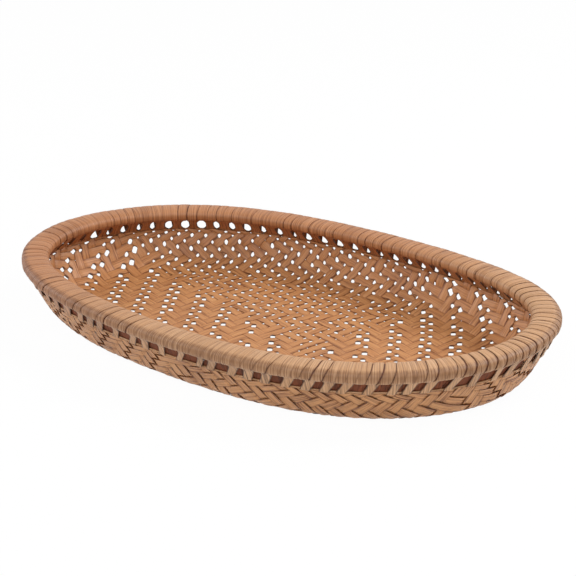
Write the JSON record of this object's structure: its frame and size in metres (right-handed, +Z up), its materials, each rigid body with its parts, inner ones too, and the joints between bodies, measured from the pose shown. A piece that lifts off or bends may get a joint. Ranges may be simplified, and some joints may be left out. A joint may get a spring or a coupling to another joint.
{
  "type": "oval bamboo tray",
  "caption": "Shallow oval serving tray woven from flat bamboo splits in twill, with flared walls and a thick lashed rim held over the weave by lashing legs.",
  "frame": {"origin": "middle of the tray on the surface it stands on", "axes": "+X along the tray's long axis, +Y across it, +Z up"},
  "size_m": [0.4724, 0.2862, 0.0546],
  "materials": {
    "split_bamboo": "matte split bamboo, warm tan",
    "cross_split_bamboo": "matte split bamboo, slightly darker tan",
    "lashing_bamboo": "satin split bamboo with fine lengthwise fibres",
    "rim_bamboo": "plain bamboo, shaded under the lashing",
    "strand_bamboo": "pale thin bamboo strand"
  },
  "bodies": {
    "root": {"lengthwise_split_01": "split_bamboo", "lengthwise_split_02": "split_bamboo", "lengthwise_split_03": "split_bamboo", "lengthwise_split_04": "split_bamboo", "lengthwise_split_05_left": "split_bamboo", "lengthwise_split_05_right": "split_bamboo", "lengthwise_split_06_left": "split_bamboo", "lengthwise_split_06_right": "split_bamboo", "lengthwise_split_07_left": "split_bamboo", "lengthwise_split_07_right": "split_bamboo", "lengthwise_split_08_left": "split_bamboo", "lengthwise_split_08_right": "split_bamboo", "lengthwise_split_09_left": "split_bamboo", "lengthwise_split_09_right": "split_bamboo", "lengthwise_split_10_left": "split_bamboo", "lengthwise_split_10_right": "split_bamboo", "lengthwise_split_11_left": "split_bamboo", "lengthwise_split_11_right": "split_bamboo", "lengthwise_split_12_left": "split_bamboo", "lengthwise_split_12_right": "split_bamboo", "lengthwise_split_13": "split_bamboo", "lengthwise_split_14": "split_bamboo", "lengthwise_split_15": "split_bamboo", "lengthwise_split_16": "split_bamboo", "lengthwise_split_17": "split_bamboo", "lengthwise_split_18": "split_bamboo", "crosswise_split_01": "cross_split_bamboo", "crosswise_split_02": "cross_split_bamboo", "crosswise_split_03": "cross_split_bamboo", "crosswise_split_04": "cross_split_bamboo", "crosswise_split_05": "cross_split_bamboo", "crosswise_split_06": "cross_split_bamboo", "crosswise_split_07": "cross_split_bamboo", "crosswise_split_08": "cross_split_bamboo", "crosswise_split_09": "cross_split_bamboo", "crosswise_split_10": "cross_split_bamboo", "crosswise_split_11": "cross_split_bamboo", "crosswise_split_12": "cross_split_bamboo", "crosswise_split_13": "cross_split_bamboo", "crosswise_split_14": "cross_split_bamboo", "crosswise_split_15": "cross_split_bamboo", "crosswise_split_16": "cross_split_bamboo", "crosswise_split_17": "cross_split_bamboo", "crosswise_split_18": "cross_split_bamboo", "crosswise_split_19": "cross_split_bamboo", "crosswise_split_20": "cross_split_bamboo", "crosswise_split_21": "cross_split_bamboo", "crosswise_split_22": "cross_split_bamboo", "crosswise_split_23": "cross_split_bamboo", "crosswise_split_24": "cross_split_bamboo", "crosswise_split_25": "cross_split_bamboo", "lashing_strip_1": "lashing_bamboo", "lashing_strip_2": "lashing_bamboo", "lashing_strip_3": "lashing_bamboo", "lashing_strip_4": "lashing_bamboo", "outer_hoop": "rim_bamboo", "inner_hoop": "rim_bamboo", "upper_filler": "rim_bamboo", "lower_filler": "rim_bamboo", "border_strand": "strand_bamboo"}
  },
  "joints": []
}
